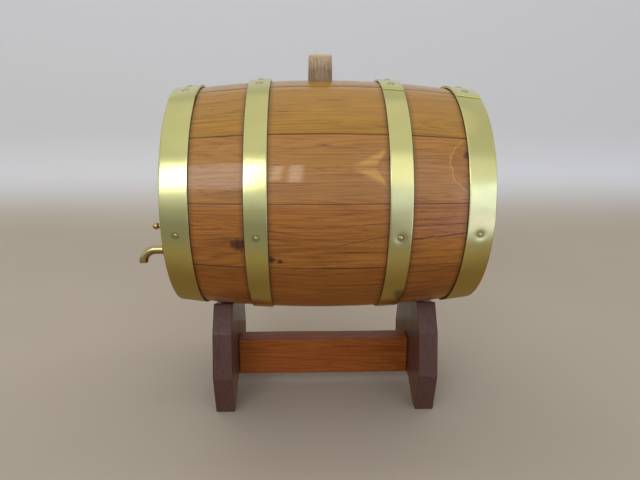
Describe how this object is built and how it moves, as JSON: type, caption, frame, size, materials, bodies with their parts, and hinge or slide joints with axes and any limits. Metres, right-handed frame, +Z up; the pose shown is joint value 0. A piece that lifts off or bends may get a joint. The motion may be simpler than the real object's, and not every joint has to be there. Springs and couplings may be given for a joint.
{
  "type": "oak wine barrel",
  "caption": "Small oak wine keg of bent staves with brass hoops, a wooden bung and a brass tap, lying on a wooden cradle stand.",
  "frame": {"origin": "on the floor plane under the feet, at the middle of the whole object's length with its tap, on the barrel's vertical middle plane", "axes": "+X along the barrel's axis, away from the tap; +Y to the back; +Z up through the bung"},
  "size_m": [0.343, 0.2322, 0.358],
  "materials": {
    "oak_staves": "semi-gloss clear varnish over amber to red-brown oak",
    "oak_heads": "semi-gloss clear varnish",
    "brass_hoops": "polished pale brass strip",
    "brass_tap": "polished cast brass",
    "leather_seal": "dark matt leather",
    "bung_wood": "raw weathered softwood",
    "stand_boards": "dark mahogany stain, satin varnish",
    "stand_rail": "orange-brown stain, satin varnish",
    "steel_screws": "dull zinc"
  },
  "bodies": {
    "stand": {"end_board_left": "stand_boards", "end_board_right": "stand_boards", "rail": "stand_rail", "rail_screws": "steel_screws"},
    "barrel": {"stave_01": "oak_staves", "stave_02": "oak_staves", "stave_03": "oak_staves", "stave_04": "oak_staves", "stave_05": "oak_staves", "stave_06": "oak_staves", "stave_07": "oak_staves", "stave_08": "oak_staves", "stave_09": "oak_staves", "stave_10": "oak_staves", "stave_11": "oak_staves", "stave_12": "oak_staves", "head_left_bottom": "oak_heads", "head_left_middle": "oak_heads", "head_left_top": "oak_heads", "head_right_bottom": "oak_heads", "head_right_middle": "oak_heads", "head_right_top": "oak_heads", "head_dowels": "oak_heads", "hoop_end_left": "brass_hoops", "hoop_quarter_left": "brass_hoops", "hoop_quarter_right": "brass_hoops", "hoop_end_right": "brass_hoops", "hoop_rivets": "brass_hoops", "hoop_nails": "brass_hoops", "tap_body": "brass_tap", "tap_seal": "leather_seal", "tap_backnut": "brass_tap"},
    "bung": {"bung": "bung_wood"},
    "key": {"tap_key": "brass_tap", "key_washer": "brass_tap", "key_nut": "brass_tap"}
  },
  "joints": [
    {"name": "barrel_lift", "type": "slide", "parent": "stand", "child": "barrel", "axis": [0, 0, 1], "range_m": [0, 0.06]},
    {"name": "bung_pull", "type": "slide", "parent": "barrel", "child": "bung", "axis": [0, 0, 1], "range_m": [0, 0.05]},
    {"name": "key_turn", "type": "hinge", "parent": "barrel", "child": "key", "pos_m": [-0.13753, 0, 0.1595], "axis": [0, 0, 1], "range_deg": [0, 90]}
  ]
}
